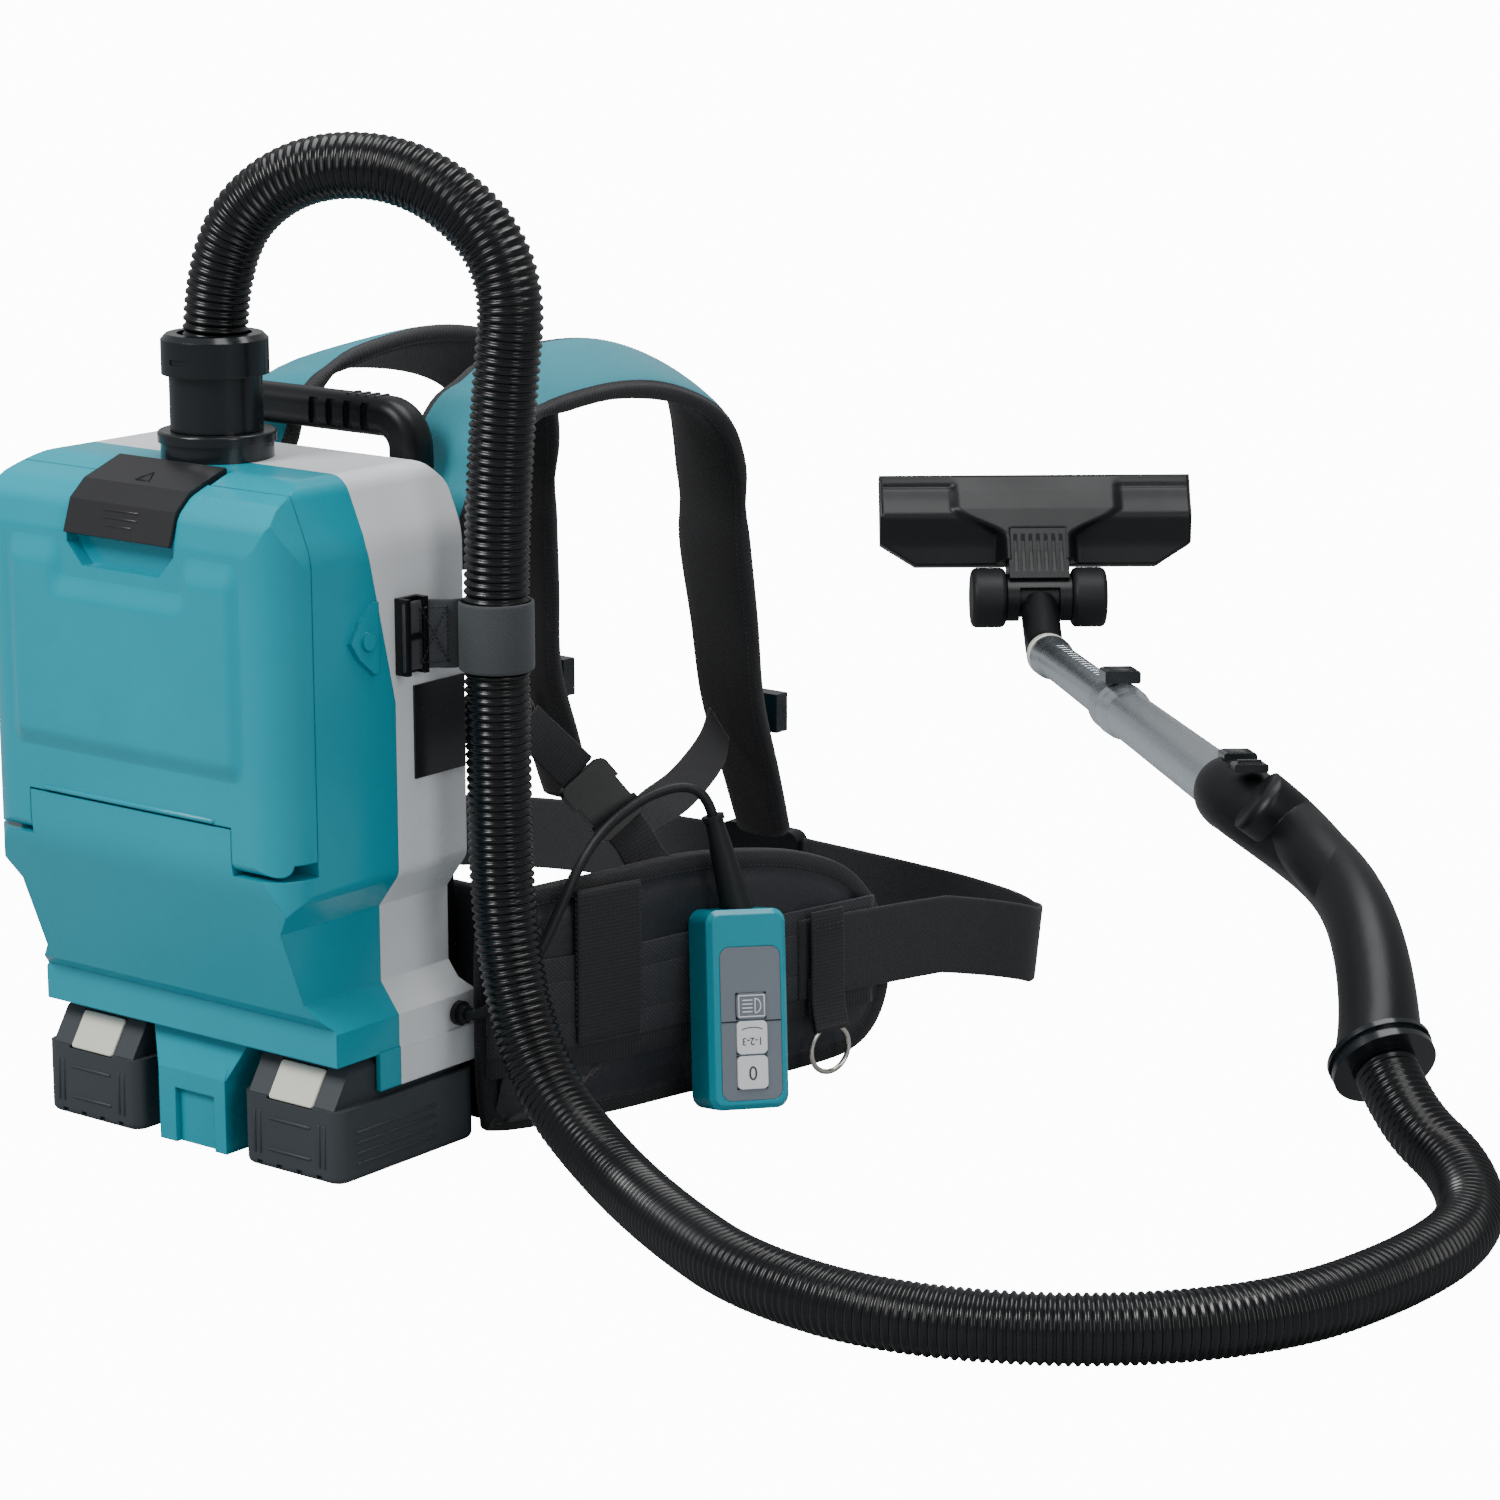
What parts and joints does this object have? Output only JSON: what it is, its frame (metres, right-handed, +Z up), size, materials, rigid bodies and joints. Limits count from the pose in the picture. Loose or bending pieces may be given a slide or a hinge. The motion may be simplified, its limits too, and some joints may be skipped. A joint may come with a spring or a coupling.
{
  "type": "backpack vacuum cleaner",
  "caption": "Battery backpack vacuum with harness, waist belt, corded remote, ribbed suction hose, telescopic wand and swivelling floor head.",
  "frame": {"origin": "on the ground under the centre column of the housing", "axes": "+Z up, -Y towards the front cover, +Y towards the wearer, +X to the right seen from the front, where the hose runs"},
  "size_m": [1.1927, 1.5795, 0.5658],
  "materials": {
    "teal_plastic": "gloss",
    "pale_plastic": "satin",
    "black_plastic": "matte",
    "dark_grey_plastic": "satin",
    "ivory_plastic": "satin",
    "black_webbing": "woven",
    "teal_fabric": "woven",
    "black_padding": "quilted",
    "filter_media": "matte",
    "steel_tube": "satin",
    "chrome_ring": "polished",
    "motor_steel": "satin",
    "hose_plastic": "satin",
    "cable_rubber": "matte",
    "grey_panel": "satin",
    "white_key": "satin",
    "circuit_board": "satin",
    "wheel_rubber": "matte",
    "bristle": "matte",
    "screw_steel": "satin"
  },
  "bodies": {
    "frame": {"front_housing": "teal_plastic", "rear_housing": "pale_plastic", "inlet_socket": "black_plastic", "dust_bag": "filter_media", "hepa_filter": "filter_media", "motor": "motor_steel", "control_board": "circuit_board", "battery_terminals": "black_plastic", "back_plate": "black_plastic", "carry_handle": "black_plastic", "back_pad": "black_padding", "hose_bracket": "black_plastic", "hose_strap": "black_webbing", "side_badge": "dark_grey_plastic", "suction_hose": "hose_plastic", "wand_handle": "black_plastic", "outer_tube": "steel_tube", "shoulder_pad_right": "teal_fabric", "shoulder_pad_left": "teal_fabric", "side_webbing_right": "black_webbing", "side_webbing_left": "black_webbing", "strap_buckle_right": "black_plastic", "strap_buckle_left": "black_plastic", "d_rings": "chrome_ring", "strap_clips": "black_plastic", "waist_pad_right": "black_padding", "waist_pad_left": "black_padding", "lumbar_pad": "black_padding", "waist_webbing_right": "black_webbing", "waist_webbing_left": "black_webbing", "waist_buckle": "black_plastic", "accessory_loop": "black_webbing", "remote_case": "teal_plastic", "remote_panel": "grey_panel", "cable_relief": "cable_rubber", "cable_gland": "black_plastic", "remote_cable": "cable_rubber", "housing_screws": "screw_steel"},
    "cover": {"front_cover": "teal_plastic"},
    "latch": {"cover_latch": "dark_grey_plastic"},
    "cuff": {"hose_cuff": "black_plastic"},
    "fan": {"fan_impeller": "motor_steel"},
    "pack_right": {"battery_right": "dark_grey_plastic"},
    "pack_left": {"battery_left": "dark_grey_plastic"},
    "pack_button_right": {"battery_button_right": "ivory_plastic"},
    "pack_button_left": {"battery_button_left": "ivory_plastic"},
    "light_button": {"light_key": "grey_panel"},
    "speed_button": {"speed_key": "white_key"},
    "stop_button": {"stop_key": "white_key"},
    "release_button": {"wand_button": "dark_grey_plastic"},
    "suction_slider": {"air_slider": "dark_grey_plastic"},
    "length_lock": {"tube_lock": "dark_grey_plastic"},
    "lower_tube": {"inner_tube": "steel_tube"},
    "neck": {"neck_elbow": "black_plastic"},
    "head": {"floor_head": "black_plastic", "sole_brush": "bristle"},
    "wheel_right": {"head_wheel_right": "wheel_rubber"},
    "wheel_left": {"head_wheel_left": "wheel_rubber"},
    "hose_swivel": {"hose_end_ring": "black_plastic"},
    "hanging_ring": {"accessory_ring": "chrome_ring"}
  },
  "joints": [
    {"name": "cover_hinge", "type": "hinge", "parent": "frame", "child": "cover", "pos_m": [0, -0.092, 0.186], "axis": [1, 0, 0], "range_deg": [0, 95]},
    {"name": "cover_latch_tilt", "type": "hinge", "parent": "cover", "child": "latch", "pos_m": [0, -0.077, 0.3748], "axis": [-1, 0, 0], "range_deg": [0, 14], "stiffness_Nm_per_rad": 0.2, "springref_deg": -8.59},
    {"name": "hose_cuff_swivel", "type": "hinge", "parent": "frame", "child": "cuff", "pos_m": [0, -0.022, 0.42], "axis": [0, 0, 1], "continuous": true},
    {"name": "fan_spin", "type": "hinge", "parent": "frame", "child": "fan", "pos_m": [0, -0.012, 0.16], "axis": [0, 0, 1], "continuous": true},
    {"name": "battery_right_slide", "type": "slide", "parent": "frame", "child": "pack_right", "axis": [0, -1, 0], "range_m": [0, 0.115]},
    {"name": "battery_left_slide", "type": "slide", "parent": "frame", "child": "pack_left", "axis": [0, -1, 0], "range_m": [0, 0.115]},
    {"name": "battery_button_right_press", "type": "slide", "parent": "pack_right", "child": "pack_button_right", "axis": [0, 0.8453, -0.5342], "range_m": [0, 0.0025], "stiffness_N_per_m": 400, "springref_m": -0.0025},
    {"name": "battery_button_left_press", "type": "slide", "parent": "pack_left", "child": "pack_button_left", "axis": [0, 0.8453, -0.5342], "range_m": [0, 0.0025], "stiffness_N_per_m": 400, "springref_m": -0.0025},
    {"name": "light_key_press", "type": "slide", "parent": "frame", "child": "light_button", "axis": [-0.8686, 0.446, -0.2158], "range_m": [0, 0.0008], "stiffness_N_per_m": 300, "springref_m": -0.0008},
    {"name": "speed_key_press", "type": "slide", "parent": "frame", "child": "speed_button", "axis": [-0.8686, 0.446, -0.2158], "range_m": [0, 0.0008], "stiffness_N_per_m": 300, "springref_m": -0.0008},
    {"name": "stop_key_press", "type": "slide", "parent": "frame", "child": "stop_button", "axis": [-0.8686, 0.446, -0.2158], "range_m": [0, 0.0008], "stiffness_N_per_m": 300, "springref_m": -0.0008},
    {"name": "wand_button_press", "type": "slide", "parent": "frame", "child": "release_button", "axis": [0.0798, -0.0962, -0.9922], "range_m": [0, 0.0015], "stiffness_N_per_m": 400, "springref_m": -0.0015},
    {"name": "air_slider_move", "type": "slide", "parent": "frame", "child": "suction_slider", "axis": [-0.6337, 0.7634, -0.125], "range_m": [0, 0.012]},
    {"name": "tube_lock_slide", "type": "slide", "parent": "frame", "child": "length_lock", "axis": [0.6337, -0.7634, 0.125], "range_m": [0, 0.0035], "stiffness_N_per_m": 400, "springref_m": -0.0035},
    {"name": "wand_length", "type": "slide", "parent": "frame", "child": "lower_tube", "axis": [-0.6337, 0.7634, -0.125], "range_m": [-0.36, 0.03]},
    {"name": "neck_swivel", "type": "hinge", "parent": "lower_tube", "child": "neck", "pos_m": [-0.3146, 1.279, 0.0205], "axis": [-0.6337, 0.7634, -0.125], "range_deg": [-90, 90]},
    {"name": "head_tilt", "type": "hinge", "parent": "neck", "child": "head", "pos_m": [-0.371, 1.347, 0.053], "axis": [0.7694, 0.6387, 0], "range_deg": [-48, 8]},
    {"name": "wheel_right_roll", "type": "hinge", "parent": "head", "child": "wheel_right", "pos_m": [-0.371, 1.347, 0.053], "axis": [0.7694, 0.6387, 0], "continuous": true},
    {"name": "wheel_left_roll", "type": "hinge", "parent": "head", "child": "wheel_left", "pos_m": [-0.371, 1.347, 0.053], "axis": [0.7694, 0.6387, 0], "continuous": true},
    {"name": "hose_end_swivel", "type": "hinge", "parent": "frame", "child": "hose_swivel", "pos_m": [0.56, 0.293, 0.066], "axis": [0.6656, -0.4992, -0.5547], "continuous": true},
    {"name": "hanging_ring_swing", "type": "hinge", "parent": "frame", "child": "hanging_ring", "pos_m": [0.20514, 0.26594, 0.031], "axis": [0.2402, 0.9707, 0], "range_deg": [-60, 0]}
  ]
}
